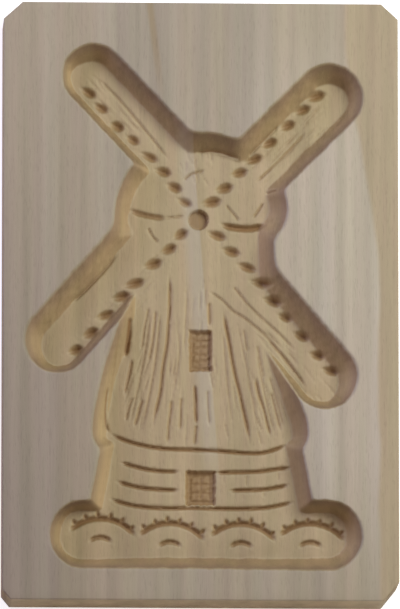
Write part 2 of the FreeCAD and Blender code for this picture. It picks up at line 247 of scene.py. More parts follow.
# Faint marks of the flat gouge on the floors: how many, the middle and half size of their patch,
# their bearing and how far that spreads, and how long and deep they are
SCRATCHES = (
    (16, (-22.0, 52.5), (9.0, 3.2), 133.4, 3, 9, 0.36),
    (24, (23.0, 41.5), (13.0, 5.0), 45.3, 3, 11, 0.42),
    (12, (-20.5, -0.5), (13.0, 3.4), 48.9, 4, 9, 0.32),
    (18, (25.5, -16.5), (14.0, 3.8), -49.7, 4, 9, 0.4),
    (12, (0.0, 35.0), (5.5, 5.0), 100, 30, 6, 0.32),
    (12, (7.0, -22.0), (11.0, 4.0), -80, 4, 11, 0.42),
    (12, (17.0, -24.0), (9.0, 5.0), -73, 4, 9, 0.4),
    (10, (-6.0, -24.0), (11.0, 3.5), -95, 4, 11, 0.38),
    (12, (-16.0, -22.0), (11.0, 4.0), -104, 4, 10, 0.42),
    (9, (-3.0, 3.0), (9.0, 5.0), -92, 5, 9, 0.36),
    (12, (0.0, -50.0), (4.0, 24.0), -90, 8, 3, 0.2),
)
SCRATCH_LENGTHS = (0.5, 1.2)
SCRATCH_DEPTHS = (0.4, 1)

# What each tool leaves: half width, depth, over what shares of a path it enters and leaves the
# wood, how flat its bottom is, and how much shallower it starts. BOLDER is what a bold stroke
# gains in half width and depth, and COURSE_RUN_IN how soon at most a course is at full depth.
TOOL_SIZES = ("half_width", "depth", "run_in", "run_out", "bluntness", "rake")
Tool = namedtuple("Tool", TOOL_SIZES, defaults=(0.2, 0.2, 1.2, 0))
Cut = namedtuple("Cut", ("path", *TOOL_SIZES))
CHIP_GOUGE = Tool(1.6, 1.5, 0.55, 0.36, 1.0, 0.1)
FOOT_KNIFE = Tool(0.55, 0.7)
THATCH_TOOL = Tool(0.48, 0.2, 0.12, 0.18)
BOLDER = (0.16, 0.44)
COURSE_TOOL = Tool(0.68, 0.95, 0.16, 0.16)
COURSE_RUN_IN = 4.0
JOINT_KNIFE = Tool(0.4, 0.3, 0.3, 0.3)
VEINER = Tool(0.5, 0.58, 0.1, 0.14)
FLAT_GOUGE = Tool(0.38, 1, 0.4, 0.4)
BRIM_GOUGE = Tool(1, 1, 0.25, 0.25, 1.4)
SCALLOP_GOUGE = Tool(0.95, 1.0, 0.12, 0.14, 1.4)
TICK_GOUGE = Tool(0.85, 0.85, 0.6, 0.15, 1.1)
BUD_GOUGE = Tool(0.8, 0.8, 0.25, 0.25, 1.3)
ROW_KNIFE = Tool(0.55, 0.35)
BAR_KNIFE = Tool(0.5, 0.3)
CUT_SEED = 11

# What the mesh tells the finish at each point: how much painted shade the fine cuts get,
# and how torn the wood is
MARKS = ("gouged", "rough")

# The squares of the face, across and along. Those of the hollow are halved, and then only those
# close to an edge or a fine cut, in shares of a square's side.
SQUARES = (40, 60)
HALVINGS = 3
WIDE_HALVINGS = 2
EDGE_REACH = 0.95
CUT_REACH = 0.5
SNAP_REACH = 0.48

# How far from a point a cut still counts, in millimetres
FAR = 3.0

# How uneven hand-held tools leave the wood: the waves in each surface, then heights, wavelengths
# and seeds. The rim's heights are shares of the unevenness.
WAVES = 6
RIM_RIPPLES = ((1.0, 9.0, 3), (0.7, 2.6, 4))
FLOOR_RIPPLES = ((0.07, 7.0, 5), (0.03, 1.9, 6))
RECESS_RIPPLES = ((0.12, 1.7, 8),)
ROUGH_RIPPLES = ((0.14, 1.3, 9),)

# How softly walls meet, as a share of the depth, how round rims and feet are, in millimetres, and
# how hollow a gouge leaves the walls
RIDGE_BLEND = 0.4
RIM_BLEND = 0.4
FOOT_BLEND = 0.35
SCOOP = 1.15

# How far the walls of the hub's hole and of the window and door run in, how torn the bottom of
# that hole is, and how soon
HUB_WALL = 0.25
RECESS_WALL = 0.5
HUB_TORN = 0.9
HUB_TORN_REACH = 0.2

# Where the wood and the painted light and shade change, in millimetres from the board's middle
# or above its back: each change begins at the first place and is complete at the second
# Towards the lower left the wood is greyer and also carries painted shade
GREY_AND_SHADE_ACROSS, GREY_AND_SHADE_ALONG = (-18, -54), (110, -80)
# A painted pool of light to the right of the mill
LIGHT_POOL_ACROSS, LIGHT_POOL_ALONG = (2, 32), (86, 38)
STREAK_ACROSS, STREAK_ALONG = (1.5, 0.3), (52, 76)
STRIPE_ACROSS = (1.6, 0.3)
BAND_LEFT, BAND_RIGHT, BAND_ALONG = (-6.0, -2.5), (0.25, -0.35), (60, 30)
HEART_ACROSS, HEART_ALONG = (-0.9, 0.9), (0, 84)
# The second pair gives the heights over which the painted shade on the walls passes from its
# upper tint to its foot tint
BELOW_FACE, WALL_SHADE_DOWN = (17.6, 17.0), (17.2, 13.6)
WITHIN_ENDS = (83.2, 82.2)
# How steep a surface must be to take the painted shade of the walls
FLAT_TO_STEEP = (0.9, 0.75)
# How the painted shade in the fine cuts follows the share of their depth
CUT_SHADE_RAMP = (0.02, 1.05)

# Lines along the grain: how far each drifts per millimetre along, and where it crosses the middle
STRIPE_LINE = (-0.019, -47.2)
STREAK_LINE = (-0.125, -3.8)
BAND_LINE = (0.079, -1.6)

# The edge of the yellower heartwood: how far it moves and from where, and how it sways
HEART_EDGE = (-9.6, 49.8)
SWAY = (3.0, -1.5)
SWAY_CELLS = (40, 22, 40)

# How strongly each colour shows, and the painted shade in the fine cuts
WARM_SHARE = 0.3
STREAK_SHARE = 0.6
STRIPE_SHARE = 0.07
BAND_SHARE = 0.5
TORN_SHARE = 0.8
CUT_SHADE_SHARE = 0.9

# The stage: its floor lies a hair below the board, and each lamp has a place, a size and a colour
FLOOR_DROP = 0.05 * MM
FLOOR_GLOW = 0.6
LAMPS = {
    "key": ((0.27, 0.18, 0.37), 0.22, (0.95, 1.02, 0.975)),
    "side": ((-0.40, 0.22, 0.20), 0.2, (0.62, 0.66, 1.0)),
    "low": ((0.16, -0.42, 0.20), 0.25, (0.96, 0.98, 0.90)),
}
SKY_COLOUR = (1.0, 0.73, 0.74, 1)
WHITE = (1, 1, 1, 1)

# The picture: what one of its pixels shows of the face, its middle, and the way to the camera
PIXEL = 0.2778 * MM
PICTURE_MIDDLE = Vector((-0.28 * MM, -1.26 * MM, HIGH.z))
PICTURE_WAY = Vector((-0.040, -0.160, 1)).normalized()


def a_length(name, description, default):
    """A length that a user can change."""
    return bpy.props.FloatProperty(
        name=name, description=description, default=default, unit="LENGTH", subtype="DISTANCE",
    )


def a_power(name, description, default):
    """A lamp's power that a user can change."""
    return bpy.props.FloatProperty(
        name=name, description=description, default=default, unit="POWER",
    )


def a_colour(name, description, default):
    """A colour that a user can change, as a screen shows it."""
    return bpy.props.FloatVectorProperty(
        name=name, description=description, default=default, subtype="COLOR_GAMMA", size=3,
        min=0, max=1,
    )


class BoardSizes(bpy.types.PropertyGroup):
    """Sizes of the plank and of the hollow in it."""

    width: a_length("Width", "Width of the plank across the grain", HIGH.x - LOW.x)
    length: a_length("Length", "Length of the plank along the grain", HIGH.y - LOW.y)
    thickness: a_length("Thickness", "Thickness of the plank", HIGH.z - LOW.z)
    corner: a_length("Corner", "How much of each corner is cut off", 5.0 * MM)
    easing: a_length("Easing", "Radius of the sanded edges", 1.4 * MM)
    depth: a_length("Hollow depth", "Depth of the hollow's floor below the face", 6.5 * MM)
    wall_run: a_length("Wall run", "How far the sloping wall of the hollow runs in", 4.2 * MM)
    sunk: a_length("Window depth", "Depth of the window and door below the floor", 1.4 * MM)
    hub_radius: a_length("Hub radius", "Radius of the hole that the sails turn about", 2.7 * MM)
    hub_depth: a_length("Hub depth", "Depth of that hole below the floor", 1.8 * MM)
    unevenness: a_length("Unevenness", "How far the hand-held tools wander", 0.09 * MM)


class BeechColours(bpy.types.PropertyGroup):
    """Colours of the wood, and of the shade and light painted on it, as seen on a screen."""

    face: a_colour("Face", "Planed face of the plank", (0.631, 0.587, 0.518))
    # Greyer wood, with painted shade, for the lower left of the face
    left: a_colour(
        "Left side", "Greyer wood and painted shade towards the lower left of the face", (0.585, 0.540, 0.482),
    )
    # A painted pool of light to the right of the mill; also the colour of the paler band in the
    # body
    pale: a_colour("Pale side", "Painted pool of light to the right of the mill, and the paler band in the body", (0.697, 0.659, 0.598))
    streak: a_colour("Streak", "Brown mineral streak above the mill", (0.600, 0.520, 0.390))
    heart: a_colour("Heartwood", "Yellower band along the right edge", (0.650, 0.587, 0.482))
    cut: a_colour("Cut wood", "Wood in the hollow, which was never sanded", (0.676, 0.604, 0.478))
    end_grain: a_colour("End grain", "Wood cut across its fibres", (0.570, 0.502, 0.384))
    # Painted shade in the fine cuts
    gouged: a_colour(
        "Painted shade in cuts", "Painted shade in the bottom of the fine cuts", (0.505, 0.370, 0.215),
    )
    # Painted shade on the upper part of the walls, darker and a little violet
    rim: a_colour(
        "Top of the walls", "Painted shade on the upper part of the hollow's walls",
        (0.910, 0.870, 0.880),
    )
    # Painted shade at the foot of the walls, a little browner
    foot: a_colour(
        "Foot of the walls", "Painted shade, a little browner, at the foot of the hollow's walls",
        (0.992, 0.958, 0.912),
    )
    torn: a_colour(
        "Torn", "Rough wood in the window, the door and the hub's hole", (0.560, 0.440, 0.290),
    )


class StageSettings(bpy.types.PropertyGroup):
    """Lamps and camera."""

    key: a_power("Key lamp", "Power of the lamp at the upper right", 1.91)
    side: a_power("Side lamp", "Power of the cool lamp at the left", 1.2)
    low: a_power("Low lamp", "Power of the weak lamp below the foot of the board", 0.4)
    sky: bpy.props.FloatProperty(
        name="Sky", description="Strength of the soft light all round",
        default=0.26, min=0,
    )
    distance: a_length("Camera distance", "How far the camera stands from the face", 3.0)


def linear(colour):
    """A colour for the shader, from a colour as a screen shows it."""
    return [c / 12.92 if c <= 0.04045 else ((c + 0.055) / 1.055) ** 2.4 for c in colour] + [1.0]


def on_ring(middle, radius, bearing):
    """The point at a bearing, in degrees from +X towards +Y, on a circle."""
    turn = math.radians(bearing)
    return np.array(middle) + radius * np.array((math.cos(turn), math.sin(turn)))


def ring_path(middle, radius, first, last, steps=12):
    """Points along an arc."""
    return np.array([on_ring(middle, radius, b) for b in np.linspace(first, last, steps)])


def ripples(points, wavelength, seed):
    """A gently uneven surface between -1 and 1, the same on each run."""
    draw = np.random.default_rng(seed)
    total = np.zeros(len(points))
    for _ in range(WAVES):
        bearing = draw.uniform(0, math.tau)
        pitch = wavelength * draw.uniform(0.7, 1.5)
        heading = np.array((math.cos(bearing), math.sin(bearing)))
        total += np.sin(points @ heading * math.tau / pitch + draw.uniform(0, math.tau))
    return total * math.sqrt(2 / WAVES) / 2


def uneven(points, rows):
    """Ripples of several heights, wavelengths and seeds together."""
    return sum(height * ripples(points, wavelength, seed) for height, wavelength, seed in rows)


def eased(row):
    """A row of x and y in turn as a path that bends smoothly, its corners cut off twice."""
    path = np.reshape(row, (-1, 2))
    for _ in range(2):
        near = path[:-1] * 0.75 + path[1:] * 0.25
        far = path[:-1] * 0.25 + path[1:] * 0.75
        middle = np.stack((near, far), 1).reshape(-1, 2)
        path = np.concatenate((path[:1], middle[1:-1], path[-1:]))
    return path


def along_path(points, path):
    """The nearest place on a path to each point, its share of the path, and its distance."""
    best = np.full(len(points), np.inf)
    share = np.zeros(len(points))
    place = np.zeros((len(points), 2))
    done = 0.0
    for start, end in zip(path[:-1], path[1:]):
        length = math.hypot(*(end - start))
        heading = (end - start) / length
        reach = np.clip((points - start) @ heading, 0, length)
        foot = start + reach[:, None] * heading
        gap = np.hypot(*(points - foot).T)
        nearer = gap < best
        best[nearer] = gap[nearer]
        share[nearer] = (done + reach)[nearer]
        place[nearer] = foot[nearer]
        done += length
    return place, share / done, best


def rounded_outline(corners):
    """Points round a closed outline through (x, y, radius) corners."""
    outline = []
    for i, (x, y, radius) in enumerate(corners):
        here = np.array((x, y))
        back, ahead = (np.array(corners[(i + k) % len(corners)][:2]) - here for k in (-1, 1))
        back, ahead = back / math.hypot(*back), ahead / math.hypot(*ahead)
        half = math.acos(max(-1.0, min(1.0, float(back @ ahead)))) / 2
        start, end = (here + way * radius / math.tan(half) for way in (back, ahead))
        bisector = (back + ahead) / math.hypot(*(back + ahead))
        pivot = here + bisector * radius / math.sin(half)
        first, last = (math.degrees(math.atan2(*(p - pivot)[::-1])) for p in (start, end))
        turn = (last - first + 180) % 360 - 180
        outline += list(ring_path(pivot, radius, first, first + turn, steps=8))
    return np.array(outline)


def inside_outline(points, outline):
    """How far inside a closed outline each point lies, below zero outside."""
    nearest = np.full(len(points), np.inf)
    inside = np.zeros(len(points), bool)
    x, y = points.T
    for start, end in zip(outline, np.roll(outline, -1, axis=0)):
        along = end - start
        if not along.any():
            continue
        reach = np.clip((points - start) @ along / (along @ along), 0, 1)
        gap = points - start - reach[:, None] * along
        nearest = np.minimum(nearest, (gap**2).sum(1))
        if start[1] != end[1]:
            crossing = start[0] + (y - start[1]) / (end[1] - start[1]) * (end[0] - start[0])
            inside ^= ((y < start[1]) != (y < end[1])) & (x < crossing)
    return np.sqrt(nearest) * np.where(inside, 1, -1)


def inside_slot(points, start, end, half_width):
    """How far inside a slot with round ends each point lies."""
    return half_width - along_path(points, np.array((start, end)))[2]


def inside_box(points, middle, halves):
    """How far inside a rectangle each point lies."""
    return (np.array(halves) - np.abs(points - np.array(middle))).min(1)


def body_outline():
    """Points round the thatched body."""
    corners = []
    for way, side in ((1, RIGHT_SIDE), (-1, LEFT_SIDE)):
        rows = [(way * x, y, SIDE_ROUND) for x, y in side]
        rows[0] = rows[0][:2] + (HEM_ROUND,)
        rows.append((way, 0, HEM_ROUND))
        corners += rows[::way]
    return rounded_outline([
        (MILL_X + HEM_HALF_WIDTH * x, HEM_Y + BODY_HEIGHT * y, radius) for x, y, radius in corners
    ])


def base_outline():
    """Points round the brick base."""
    foot, top = BASE_FOOT_Y, BASE_FOOT_Y + BASE_HEIGHT
    corners = ((BASE_TOP, top), (BASE_FOOT, foot), (-BASE_FOOT, foot), (-BASE_TOP, top))
    return rounded_outline([(MILL_X + x, y, BASE_ROUND) for x, y in corners])


def soft_lower(one, other, blend):
    """The lower of two values, with a soft corner where they cross."""
    return np.minimum(one, other) - np.maximum(blend - np.abs(one - other), 0) ** 2 / (4 * blend)


def cap_share(points, wander, run):
    """How deep the cap is at each point: a half round on a skirt."""
    off = points - CAP_MIDDLE
    beside = np.where(off[:, 1] > 0, np.hypot(*off.T), np.abs(off[:, 0]))
    slope = CAP_RUN + CAP_TOP_RUN * np.clip(off[:, 1] / CAP_RADIUS, 0, 1)
    side = (CAP_RADIUS - beside + wander) / (run * slope)
    above = (off[:, 1] + CAP_SKIRT + wander) / (run * CAP_RUN)
    return soft_lower(side, above, np.where(off[:, 0] < 0, *CAP_CORNER_BLENDS))


def sail_share(points, sail, wander, run):
    """How deep one sail is at each point, with its own slope on either side."""
    start = HUB + on_ring((0, 0), sail.step, sail.bearing - 90)
    end = start + on_ring((0, 0), sail.reach, sail.bearing)
    inside = inside_slot(points, start, end, sail.half_width) + wander
    leftward = (points - start) @ on_ring((0, 0), 1, sail.bearing + 90) / sail.half_width
    left = np.clip(leftward + 0.5, 0, 1)
    left = left * left * (3 - 2 * left)
    return inside / (run * (sail.right + (sail.left - sail.right) * left))


def ground_share(points, wander, run):
    """How deep the ground is at each point, with slopes that change along and up."""
    reach = np.array((GROUND_HALF_SPAN, 0))
    inside = inside_slot(points, GROUND_MIDDLE - reach, GROUND_MIDDLE + reach, GROUND_HALF_WIDTH)
    along, up = ((points - GROUND_MIDDLE) / (GROUND_HALF_SPAN, GROUND_HALF_WIDTH)).T
    slopes = np.interp(along, *np.transpose(GROUND_SLOPES))
    slopes *= np.interp(up, *np.transpose(GROUND_UPPER_SLOPES))
    return (inside + GROUND_SWELL * np.clip(along, 0, 1) + wander) / (run * slopes)


def hollow_shares(points, wander, run):
    """How deep each of the eight hollows is: 0 at its rim and 1 at the foot of its wall."""
    rows = [sail_share(points, sail, wander, run) for sail in SAILS]
    rows.append(cap_share(points, wander, run))
    for outline, slope in ((body_outline(), BODY_RUN), (base_outline(), BASE_RUN)):
        rows.append((inside_outline(points, outline) + wander) / (run * slope))
    rows.append(ground_share(points, wander, run))
    return np.sort(np.array(rows), axis=0)


def stroke(path, tool, **changes):
    """A tool's cut along a path, with some of its sizes changed."""
    return Cut(np.array(path, float), *tool._replace(**changes))


def chip_cuts(draw):
    """The gouge chips along the sails."""
    for row in CHIPS:
        size = draw.uniform(*CHIP_SIZES)
        path = np.reshape(row, (-1, 2))
        path += np.outer(CHIP_OVERLAP, path[1] - path[0])
        half_width, depth = CHIP_GOUGE.half_width * size, CHIP_GOUGE.depth * size
        yield stroke(path, CHIP_GOUGE, half_width=half_width, depth=depth)


def mill_cuts():
    """The knife lines of the thatch, the brick courses and the sails."""
    for path in FOOT_LINES:
        yield stroke(eased(path), FOOT_KNIFE)
    for bold, *path in THATCH:
        half_width, depth = (least + more * bold for least, more in zip(THATCH_TOOL, BOLDER))
        yield stroke(eased(path), THATCH_TOOL, half_width=half_width, depth=depth)
    for path in COURSES:
        run = min(COURSE_RUN_IN / math.dist(path[:2], path[-2:]), COURSE_TOOL.run_in)
        yield stroke(eased(path), COURSE_TOOL, run_in=run, run_out=run)
    for paths, tool in ((BRICK_JOINTS, JOINT_KNIFE), (VEINS, VEINER)):
        yield from (stroke(eased(path), tool) for path in paths)


def scratch_cuts(draw):
    """The faint marks of the flat gouge on the floors."""
    for count, middle, (along, across), bearing, spread, length, depth in SCRATCHES:
        for _ in range(count):
            start = on_ring(middle, draw.uniform(-along, along), bearing)
            start = on_ring(start, draw.uniform(-across, across), bearing + 90)
            turned = bearing + draw.uniform(-spread, spread)
            end = on_ring(start, length * draw.uniform(*SCRATCH_LENGTHS), turned)
            deep = depth * draw.uniform(*SCRATCH_DEPTHS)
            yield stroke((start, end), FLAT_GOUGE, depth=deep)


def brim_cuts():
    """The brims of the cap."""
    for half_width, depth, *path in BRIMS:
        yield stroke(eased(path), BRIM_GOUGE, half_width=half_width, depth=depth)


def scallop_cuts(draw):
    """The scallops along the ground, each with its ticks and its bud."""
    first, last = SCALLOP_ENDS
    for middle in SCALLOP_MIDDLES:
        pivot = np.array(middle) - (0, SCALLOP_RADIUS)
        yield stroke(ring_path(pivot, SCALLOP_RADIUS, first, last), SCALLOP_GOUGE)
        for bearing in np.linspace(first - TICK_MARGIN, last + TICK_MARGIN, TICKS):
            lean = bearing + draw.uniform(-TICK_LEAN, TICK_LEAN)
            inner = on_ring(pivot, SCALLOP_RADIUS + TICK_GAP, bearing)
            outer = inner + on_ring((0, 0), draw.uniform(*TICK_LENGTHS), lean)
            yield stroke((outer, inner), TICK_GOUGE)
        low = np.array(middle) - (0, BUD_DROP + BUD_RADIUS)
        yield stroke(ring_path(low, BUD_RADIUS, *BUD_ENDS), BUD_GOUGE)


def recess_cuts(draw):
    """The rough cuts that criss-cross the window and the door."""
    for (x, y), (across, up), rows in RECESS_ROWS:
        reach = across * RECESS_REACH
        for i in range(rows):
            level = y + up * ((2 * i + 1) / rows - 1)
            tilt = draw.uniform(-RECESS_TILT, RECESS_TILT)
            yield stroke(((x - reach, level - tilt), (x + reach, level + tilt)), ROW_KNIFE)
        reach = up * RECESS_REACH
        for bar in BARS:
            top = x + across * bar + draw.uniform(-BAR_SHIFT, BAR_SHIFT)
            foot = top + draw.uniform(-RECESS_TILT, RECESS_TILT)
            yield stroke(((top, y + reach), (foot, y - reach)), BAR_KNIFE)


def cut_list():
    """Every fine cut in the floor, drawn in a fixed order."""
    draw = np.random.default_rng(CUT_SEED)
    return [
        *chip_cuts(draw), *mill_cuts(), *scratch_cuts(draw), *brim_cuts(), *scallop_cuts(draw),
        *recess_cuts(draw),
    ]


def near_cut(points, cut, margin):
    """Which of the points lie near a cut."""
    low = cut.path.min(0) - cut.half_width - margin
    high = cut.path.max(0) + cut.half_width + margin
    return np.flatnonzero(((points > low) & (points < high)).all(1))


def cut_shape(points, cut):
    """How deep a cut is at each point, and how far outside it the point lies."""
    _, share, gap = along_path(points, cut.path)
    swell = np.clip(share / cut.run_in, 0, 1) * np.clip((1 - share) / cut.run_out, 0, 1)
    swell = swell * swell * (3 - 2 * swell)
    half_width = cut.half_width * np.sqrt(swell) + 1e-6
    depth = cut.depth * swell * np.clip(1 - (gap / half_width) ** cut.bluntness, 0, 1)
    return depth * (1 - cut.rake * (1 - share)), gap - cut.half_width


def soft_floor(value, blend):
    """value where it is above zero and zero below, with a soft bend between."""
    bend = (value + blend) ** 2 / (4 * blend)
    return np.where(np.abs(value) < blend, bend, np.maximum(value, 0))


class Carving:
    """The carver's work: depths below the face at any points, in millimetres."""

    def __init__(self, sizes):
        self.depth = sizes.depth / MM
        self.run = sizes.wall_run / MM
        self.sunk = sizes.sunk / MM
        self.hub_radius = sizes.hub_radius / MM
        self.hub_depth = sizes.hub_depth / MM
        self.wander = sizes.unevenness / MM
        self.cuts = cut_list()

    def shares(self, points):
        """The deepest and second deepest hollow at each point, 0 at a rim and 1 at a foot."""
        rows = hollow_shares(points, self.wander * uneven(points, RIM_RIPPLES), self.run)
        return rows[-1], rows[-2]

    def recesses(self, points):
        """How far inside the hub's hole, the window and the door each point lies."""
        hub = self.hub_radius - np.hypot(*(points - HUB).T)
        rough = uneven(points, RECESS_RIPPLES)
        return hub, inside_box(points, *WINDOW) + rough, inside_box(points, *DOOR) + rough

    def edge_distance(self, points):
        """Distance to the nearest rim, foot or ridge, and how far inside the hollow it is."""
        deepest, next_deepest = self.shares(points)
        on_wall = (deepest > 0) & (deepest < 1)
        ridge = np.where(on_wall, (deepest - next_deepest) / 2, np.inf)
        lines = [self.run * np.abs(row) for row in (deepest, deepest - 1, ridge)]
        lines += [np.abs(row) for row in self.recesses(points)]
        return np.min(lines, axis=0), self.run * deepest

    def cut_distance(self, points):
        """Distance to the nearest fine cut, below zero inside one."""
        nearest = np.full(len(points), FAR)
        for cut in self.cuts:
            near = near_cut(points, cut, FAR)
            nearest[near] = np.minimum(nearest[near], cut_shape(points[near], cut)[1])
        return nearest

    def fine_depths(self, points):
        """How deep the fine cuts are at each point, and how much painted shade they get."""
        fine, gouged = np.zeros((2, len(points)))
        for cut in self.cuts:
            near = near_cut(points, cut, 0)
            cut_depth, _ = cut_shape(points[near], cut)
            fine[near] = np.maximum(fine[near], cut_depth)
            # The painted shade of a cut follows its depth
            gouged[near] = np.maximum(gouged[near], cut_depth / cut.depth * min(1, cut.depth))
        return fine, gouged

    def depths(self, points):
        """The wood's depth below the face, its painted shade in fine cuts, and how torn it is."""
        deepest, next_deepest = self.shares(points)
        meeting = np.maximum(RIDGE_BLEND - (deepest - next_deepest), 0) ** 2 / (4 * RIDGE_BLEND)
        scooped = 1 - np.clip(1 - deepest - meeting, 0, None) ** SCOOP
        share = np.where(deepest < 0, deepest + meeting, scooped)
        slope = soft_floor(share * self.depth, RIM_BLEND)
        deep = self.depth - soft_floor(self.depth - slope, FOOT_BLEND)
        deep += np.clip((deepest - 1) * self.run, 0, 1) * uneven(points, FLOOR_RIPPLES)
        fine, gouged = self.fine_depths(points)
        hub, window, door = self.recesses(points)
        sunk = self.hub_depth * np.clip(hub / HUB_WALL + 0.5, 0, 1)
        for row in (window, door):
            sunk += self.sunk * np.clip(row / RECESS_WALL, 0, 1)
        rough = np.clip(np.maximum(window, door) / RECESS_WALL, 0, 1)
        sunk += rough * uneven(points, ROUGH_RIPPLES)
        torn = HUB_TORN * np.clip(hub / HUB_TORN_REACH, 0, 1) + rough
        return deep + fine + sunk, gouged, torn


def halve_squares(mesh, carving, square, level):
    """Halve the squares of the size given that a tool went through."""
    almost = (square * MM) ** 2 * 0.8
    faces = [f for f in mesh.faces if len(f.verts) == 4 and f.calc_area() > almost]
    middles = np.array([f.calc_center_median()[:2] for f in faces]) / MM
    edge, inside = carving.edge_distance(middles)
    if level < WIDE_HALVINGS:
        chosen = inside > -square
    else:
        cut = carving.cut_distance(middles)
        chosen = (edge < square * EDGE_REACH) | (cut < square * CUT_REACH)
    edges = {e for f, wanted in zip(faces, chosen) if wanted for e in f.edges}
    bmesh.ops.subdivide_edges(mesh, edges=list(edges), cuts=1, use_grid_fill=True)


def snap_to_rims(points, carving, reach):
    """Move points close to a rim onto it, and say which points are still free."""
    def inside(places):
        return carving.shares(places)[0] * carving.run

    value = inside(points)
    close = np.flatnonzero(np.abs(value) < reach)
    step, least_steepness = 0.02, 0.25
    slope = np.array([
        (inside(points[close] + way) - inside(points[close] - way)) / (2 * step)
        for way in ((step, 0), (0, step))
    ]).T
    steepness = np.maximum((slope**2).sum(1), least_steepness)
    shift = slope * (value[close] / steepness)[:, None]
    short = np.hypot(*shift.T) < reach
    close = close[short]
    points[close] -= shift[short]
    free = np.ones(len(points), bool)
    free[close] = False
    return free


def snap_to_lines(points, carving, reach):
    """Move points close to a rim, or to the bottom of a fine cut, onto it."""
    free = snap_to_rims(points, carving, reach)
    for cut in carving.cuts:
        near = near_cut(points, cut, reach)
        place, _, gap = along_path(points[near], cut.path)
        caught = free[near] & (gap < reach)
        points[near[caught]] = place[caught]
        free[near[caught]] = False
    return points


def carved_face(sizes, carving):
    """The top of the board, with its corners cut off and marks for the finish."""
    mesh = bmesh.new()
    marks = [mesh.verts.layers.float.new(name) for name in MARKS]
    across, along = sizes.width / 2, sizes.length / 2
    bmesh.ops.create_grid(mesh, x_segments=SQUARES[0], y_segments=SQUARES[1], size=1.0)
    bmesh.ops.scale(mesh, verts=mesh.verts, vec=(across, along, 1))
    square = min(2 * across / SQUARES[0], 2 * along / SQUARES[1]) / MM
    for level in range(HALVINGS):
        halve_squares(mesh, carving, square / 2**level, level)
    for (x, y), (off_across, off_along) in zip(CORNERS, CORNER_SHARES):
        bmesh.ops.bisect_plane(
            mesh, geom=mesh.verts[:] + mesh.edges[:] + mesh.faces[:], dist=1e-6,
            plane_co=(x * (across - off_across * sizes.corner), y * along, 0),
            plane_no=(x * off_along, y * off_across, 0), clear_outer=True,
        )
    verts = mesh.verts[:]
    points = np.array([vert.co[:2] for vert in verts]) / MM
    points = snap_to_lines(points, carving, square / 2**HALVINGS * SNAP_REACH)
    deep, gouged, rough = carving.depths(points)
    for vert, point, down, *values in zip(verts, points, deep, gouged, rough):
        vert.co = (point[0] * MM, point[1] * MM, sizes.thickness - down * MM)
        for mark, value in zip(marks, values):
            vert[mark] = value
    return mesh


def close_board(mesh, sizes):
    """Give the face its sides and back, and ease the edges all round."""
    rim = [e for e in mesh.edges if e.is_boundary]
    for part in bmesh.ops.extrude_edge_only(mesh, edges=rim)["geom"]:
        if isinstance(part, bmesh.types.BMVert):
            part.co.z = 0
    foot = [e for e in mesh.edges if e.is_boundary]
    bmesh.ops.contextual_create(mesh, geom=foot)
    mesh.normal_update()
    bmesh.ops.recalc_face_normals(mesh, faces=mesh.faces)
    bmesh.ops.bevel(
        mesh, geom=rim + foot, offset=sizes.easing, offset_type="OFFSET", affect="EDGES",
        segments=4, profile=0.5, material=-1, clamp_overlap=True,
    )


def finish_mesh(mesh, name, material):
    """Turn a mesh in the making into a thing in the scene."""
    data = bpy.data.meshes.new(name)
    mesh.to_mesh(data)
    mesh.free()
    data.materials.append(material)
    made = bpy.data.objects.new(name, data)
    bpy.context.scene.collection.objects.link(made)
    return made


def join(tree, kind, settings=(), **sockets):
    """Add a node, fill or link its inputs by name or _number, and give its outputs."""
    made = tree.nodes.new(kind)
    for name, value in dict(settings).items():
        setattr(made, name, value)
    for name, value in sockets.items():
        number = name[1:] if name[0] == "_" else ""
        socket = made.inputs[int(number) if number.isdigit() else name]
        if isinstance(value, bpy.types.NodeSocket):
            tree.links.new(value, socket)
        else:
            socket.default_value = value
    return made.outputs


def new_group(name, inputs, outputs):
    """A shader node group, and the sockets that its inputs come from."""
    tree = bpy.data.node_groups.new(name, "ShaderNodeTree")
    for label, kind, value in inputs:
        socket = tree.interface.new_socket(label, in_out="INPUT", socket_type=kind)
        if value is not None:
            socket.default_value = value
    for label, kind in outputs:
        tree.interface.new_socket(label, in_out="OUTPUT", socket_type=kind)
    return tree, join(tree, "NodeGroupInput")


def math_node(tree, operation, *values):
    """The result of a sum on one to three values."""
    sockets = {f"_{i}": value for i, value in enumerate(values)}
    return join(tree, "ShaderNodeMath", {"operation": operation}, **sockets)[0]


def product(tree, value, *others):
    """The product of some values."""
    for other in others:
        value = math_node(tree, "MULTIPLY", value, other)
    return value


def mix_colour(tree, factor, low, high, blend="MIX"):
    """One colour over another."""
    settings = {"data_type": "RGBA", "blend_type": blend, "clamp_factor": True}
    return join(tree, "ShaderNodeMix", settings, _0=factor, _6=low, _7=high)[2]


def lay(tree, colour, over, *shares):
    """A colour laid over what is there, as strongly as the product of the shares."""
    return mix_colour(tree, product(tree, *shares), colour, linear(over))


def ramp(tree, value, low, high):
    """0 up to one value, 1 from another, and a soft slope between."""
    settings = {"interpolation_type": "SMOOTHSTEP", "clamp": True}
    sockets = {"Value": value, "From Min": low, "From Max": high}
    return join(tree, "ShaderNodeMapRange", settings, **sockets)[0]


def noise(tree, place, scale, detail=2.0, roughness=0.5):
    """Cloudy noise whose cells have the given sizes in millimetres."""
    sized = join(
        tree, "ShaderNodeMapping", {"vector_type": "POINT"},
        Vector=place, Scale=[1 / s for s in scale],
    )[0]
    sockets = {"Vector": sized, "Scale": 1.0, "Detail": detail, "Roughness": roughness}
    return join(tree, "ShaderNodeTexNoise", **sockets)[0]


